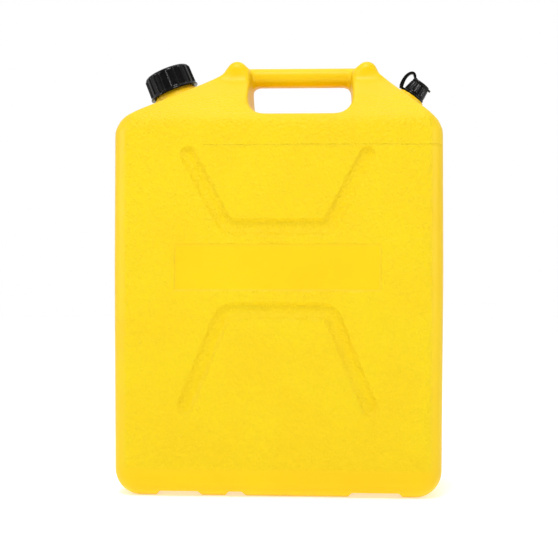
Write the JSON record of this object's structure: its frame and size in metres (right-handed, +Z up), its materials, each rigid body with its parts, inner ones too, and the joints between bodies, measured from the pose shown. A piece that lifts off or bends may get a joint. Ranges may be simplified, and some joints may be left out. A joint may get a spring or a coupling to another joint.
{
  "type": "jerry can",
  "caption": "Upright blow-moulded jerry can with a moulded-in carrying handle, a ribbed screw filler cap and a small tethered push-on vent cap.",
  "frame": {"origin": "middle of the base, on the ground that the base pads stand on", "axes": "+X along the width towards the vent cap, -Y out of the front face, +Z up"},
  "size_m": [0.3445, 0.165, 0.4632],
  "materials": {
    "yellow_hdpe": "blow-moulded, fine pebble grain on the faces and satin at the edges",
    "black_cap_plastic": "injection moulded, glossy",
    "black_soft_plastic": "soft polyethylene, satin",
    "liner_foam": "closed-cell foam, matt"
  },
  "bodies": {
    "tank": {"can_body": "yellow_hdpe"},
    "filler_lift": {"filler_liner": "liner_foam"},
    "filler_cap": {"filler_cap": "black_cap_plastic"},
    "tether": {"tether_ring": "black_soft_plastic", "tether_strap": "black_soft_plastic"},
    "vent_cap": {"vent_cap": "black_soft_plastic"}
  },
  "joints": [
    {"name": "filler_cap_lift", "type": "slide", "parent": "tank", "child": "filler_lift", "axis": [-0.3827, 0, 0.9239], "range_m": [0, 0.0276]},
    {"name": "filler_cap_turn", "type": "hinge", "parent": "filler_lift", "child": "filler_cap", "pos_m": [-0.1183, 0, 0.4312], "axis": [-0.3827, 0, 0.9239], "range_deg": [0, 1800]},
    {"name": "tether_swivel", "type": "hinge", "parent": "tank", "child": "tether", "pos_m": [0.1421, 0, 0.4261], "axis": [0.5878, 0, 0.809], "continuous": true},
    {"name": "vent_cap_pull", "type": "slide", "parent": "tether", "child": "vent_cap", "axis": [0.5878, 0, 0.809], "range_m": [0, 0.015], "deforming": ["tether_strap"]}
  ],
  "couplings": [
    {"joint": "filler_cap_lift", "follows": "filler_cap_turn", "m_per_rad": 0.00087535}
  ]
}
